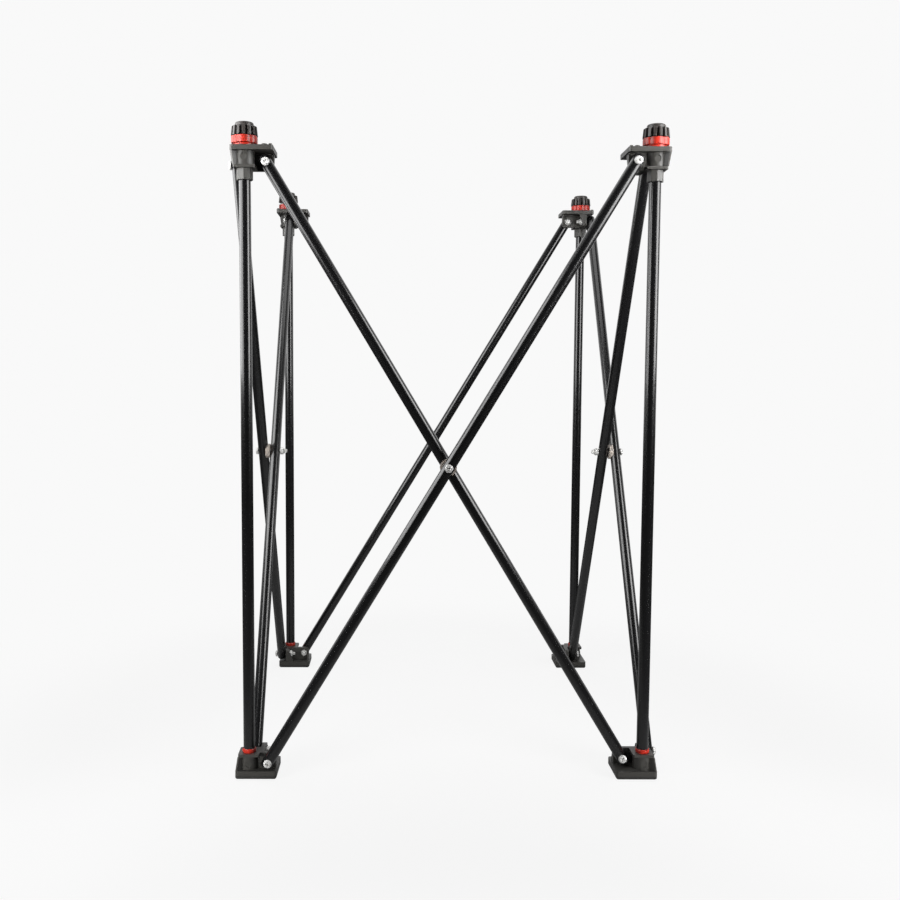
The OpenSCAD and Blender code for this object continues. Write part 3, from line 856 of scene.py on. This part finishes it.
# %% Floor
WHITE = 0.947
FLOOR_R, SHADOW_R, FADE_R = 9.0, 0.4, 0.75
NEAR_GLOW, NEAR_STRENGTH, MIRRORED_GLOW = 0.8, 1.135, 0.04
FLOOR_WHITE, FLOOR_LIT, FLOOR_DARK = 0.88, 0.5, 0.06
LIT_R, DIM_R = 0.34, 0.55
UNDER_SOLES = 0.05


def build_floor_material():
    """Matt white under a larger share of glow near the stand, and all glow beyond.

    Only the camera and see-through surfaces see it so. Reflections and bounced light see a matt floor
    that turns from grey to dark outward.
    """
    material = bpy.data.materials.new("white_floor")
    material.use_nodes = True
    tree = material.node_tree
    tree.nodes.clear()
    matt, glow = tree.nodes.new("ShaderNodeBsdfDiffuse"), tree.nodes.new("ShaderNodeEmission")
    glow.inputs["Color"].default_value = (WHITE, WHITE, WHITE, 1)
    length = tree.nodes.new("ShaderNodeVectorMath")
    length.operation = "LENGTH"
    tree.links.new(tree.nodes.new("ShaderNodeTexCoord").outputs["Object"], length.inputs[0])
    out = length.outputs["Value"]
    direct, mirrored = ray_kinds(tree)
    darker = ramp_node(tree, out, LIT_R, DIM_R, FLOOR_WHITE - FLOOR_LIT, FLOOR_WHITE - FLOOR_DARK)
    grey = math_node(tree, "MULTIPLY", darker, math_node(tree, "SUBTRACT", 1.0, direct))
    tree.links.new(math_node(tree, "SUBTRACT", FLOOR_WHITE, grey), matt.inputs["Color"])
    strength = ramp_node(tree, out, SHADOW_R, FADE_R, NEAR_STRENGTH, 1)
    tree.links.new(strength, glow.inputs["Strength"])
    to_eye = ramp_node(tree, out, SHADOW_R, FADE_R, NEAR_GLOW, 1)
    to_mirror = math_node(tree, "MULTIPLY", mirrored, MIRRORED_GLOW)
    share = math_node(tree, "MAXIMUM", math_node(tree, "MULTIPLY", direct, to_eye), to_mirror)
    surface = mixed_shader(tree, share, matt.outputs[0], glow.outputs[0])
    tree.links.new(surface, tree.nodes.new("ShaderNodeOutputMaterial").inputs["Surface"])
    return material


def build_floor():
    """A flat disc just under the soles, as a polar grid."""
    radius = np.array([0, 0.5, 1, 2, 4, FLOOR_R])[:, None] / MM
    points, faces = skin(polar(radius, -full_turn(64), -UNDER_SOLES))
    mesh = bpy.data.meshes.new("floor")
    mesh.from_pydata((points * MM).tolist(), [], faces.tolist())
    finish_mesh(mesh, 30)
    floor = bpy.data.objects.new("floor", mesh)
    bpy.context.scene.collection.objects.link(floor)
    mesh.materials.append(build_floor_material())


build_floor()
print("floor:", 2 * FLOOR_R, "m across")

# %% World
WORLD_FILL, MIRRORED_FRONT = 0.12, 0.02
FRONT_END, BACK_START = -0.1, 0.6


def build_world(fill, front):
    """White where it is seen. Reflections see it dark in front of the stand, and other rays a weak fill."""
    world = bpy.data.worlds.new("white_room")
    world.use_nodes = True
    bpy.context.scene.world = world
    tree = world.node_tree
    tree.nodes.clear()
    seen, room, lights = (tree.nodes.new("ShaderNodeBackground") for _ in range(3))
    seen.inputs["Color"].default_value = (WHITE, WHITE, WHITE, 1)
    lights.inputs["Strength"].default_value = fill
    split = tree.nodes.new("ShaderNodeSeparateXYZ")
    tree.links.new(tree.nodes.new("ShaderNodeTexCoord").outputs["Generated"], split.inputs[0])
    fade = ramp_node(tree, split.outputs["Y"], FRONT_END, BACK_START, front, WHITE)
    tree.links.new(fade, room.inputs["Strength"])
    direct, mirrored = ray_kinds(tree)
    around = mixed_shader(tree, mirrored, lights.outputs[0], room.outputs[0])
    surface = mixed_shader(tree, direct, around, seen.outputs[0])
    tree.links.new(surface, tree.nodes.new("ShaderNodeOutputWorld").inputs["Surface"])


build_world(WORLD_FILL, MIRRORED_FRONT)
print("world:", bpy.context.scene.world.name)

# %% Lamps
HIGH_WATTS, LOW_WATTS = {"left": 1.0, "right": 1.3}, 0.42
SIDE_LAMP_W, SIDE_SPREAD = 0.24, 58


def add_lamp(name, place, target, width, height, watts, matt=True, gloss=True, spread=180):
    """A soft rectangular lamp facing a target. It lights matt surfaces, gloss, or both, within a spread."""
    data = bpy.data.lights.new(name, "AREA")
    data.shape, data.size, data.size_y, data.energy = "RECTANGLE", width, height, watts
    data.spread = math.radians(spread)
    lamp = bpy.data.objects.new(name, data)
    bpy.context.scene.collection.objects.link(lamp)
    lamp.location = place
    lamp.rotation_euler = (Vector(target) - Vector(place)).to_track_quat("-Z", "Y").to_euler()
    lamp.visible_camera, lamp.visible_diffuse, lamp.visible_glossy = False, matt, gloss


for name, side in (("left", -1), ("right", 1)):
    tiers = (("high", 0.66, 0.5, HIGH_WATTS[name]), ("low", 0.12, 0.2, LOW_WATTS))
    for tier, z, height, watts in tiers:
        lamp = (f"lamp_{name}_{tier}", (side * 0.54, -0.52, z), (side * 0.21, -0.19, z))
        add_lamp(*lamp, SIDE_LAMP_W, height, watts, gloss=False, spread=SIDE_SPREAD)
add_lamp("lamp_above", (0, 0.25, 2.1), (0, 0, 0), 1.6, 1.6, 12)
add_lamp("card_left", (-0.66, -0.32, 0.89), (0, -0.32, 0.89), 0.75, 0.88, 9.5, matt=False)
add_lamp("card_right", (0.85, -0.63, 0.91), (0, -0.63, 0.91), 0.64, 0.88, 11, matt=False)
print("lamps:", len(bpy.data.lights))

# %% [markdown]
# ## Camera
#
# The camera stands a little left of the middle and looks slightly down. Its picture is shifted
# sideways rather than turned, which keeps the posts upright, as a view camera does. The lens is its
# focal length in pixels, times the sensor's width over the picture's.

# %% Camera
CAMERA_AT = Vector((-0.0566, -1.2912, 0.4424))
YAW, PITCH_DOWN, ROLL = math.radians(0.33), math.radians(4.44), math.radians(0.216)
FOCAL_PIXELS, FRAME_PIXELS, SENSOR = 1004.1, 900.0, 36.0
AXIS_PIXEL_X = 401.3

right = Vector((math.cos(YAW), -math.sin(YAW), 0))
level = Vector((math.sin(YAW), math.cos(YAW), 0))
forward = math.cos(PITCH_DOWN) * level - math.sin(PITCH_DOWN) * Vector((0, 0, 1))
up = right.cross(forward)
rolled_right = math.cos(ROLL) * right + math.sin(ROLL) * up
rolled_up = -math.sin(ROLL) * right + math.cos(ROLL) * up

camera_data = bpy.data.cameras.new("camera")
camera_data.sensor_width, camera_data.lens = SENSOR, FOCAL_PIXELS / FRAME_PIXELS * SENSOR
camera_data.shift_x = (FRAME_PIXELS / 2 - AXIS_PIXEL_X) / FRAME_PIXELS
camera = bpy.data.objects.new("camera", camera_data)
bpy.context.scene.collection.objects.link(camera)
turn = Matrix((rolled_right, rolled_up, -forward)).transposed()
camera.matrix_world = Matrix.Translation(CAMERA_AT) @ turn.to_4x4()
bpy.context.scene.camera = camera
bpy.context.scene.view_settings.view_transform = "Standard"
print("camera lens", round(camera_data.lens, 2), "mm, shift", round(camera_data.shift_x, 3))
